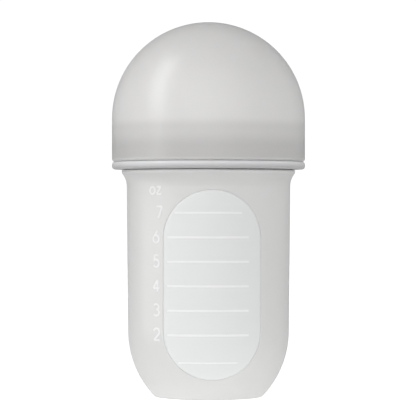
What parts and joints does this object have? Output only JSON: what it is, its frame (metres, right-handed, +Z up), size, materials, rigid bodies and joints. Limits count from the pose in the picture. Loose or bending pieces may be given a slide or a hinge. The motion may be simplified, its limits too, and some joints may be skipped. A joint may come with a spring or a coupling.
{
  "type": "baby bottle",
  "caption": "Feeding bottle with a rigid windowed shell, a soft inner pouch with graduated pads, a nipple, a screw collar and a domed push-on cover.",
  "frame": {"origin": "on the bottle's axis, in the plane that it stands on", "axes": "+Z up along the bottle's axis; the front window, with the figures to its left, faces -Y"},
  "size_m": [0.082, 0.082, 0.159],
  "materials": {
    "shell_plastic": "satin, milky see-through",
    "pouch_silicone": "soft frosted silicone",
    "nipple_silicone": "soft clear silicone",
    "collar_plastic": "satin",
    "cover_plastic": "frosted, see-through"
  },
  "bodies": {
    "shell": {"outer_shell": "shell_plastic", "pouch": "pouch_silicone"},
    "nipple": {"nipple": "nipple_silicone"},
    "collar": {"screw_collar": "collar_plastic"},
    "cover": {"dome_cover": "cover_plastic"}
  },
  "joints": [
    {"name": "nipple_lift", "type": "slide", "parent": "shell", "child": "nipple", "axis": [0, 0, 1], "range_m": [0, 0.00675]},
    {"name": "collar_turn", "type": "hinge", "parent": "nipple", "child": "collar", "pos_m": [0, 0, 0.107], "axis": [0, 0, 1], "range_deg": [0, 540]},
    {"name": "cover_pull", "type": "slide", "parent": "collar", "child": "cover", "axis": [0, 0, 1], "range_m": [0, 0.06]}
  ],
  "couplings": [
    {"joint": "nipple_lift", "follows": "collar_turn", "m_per_rad": 0.000716}
  ]
}
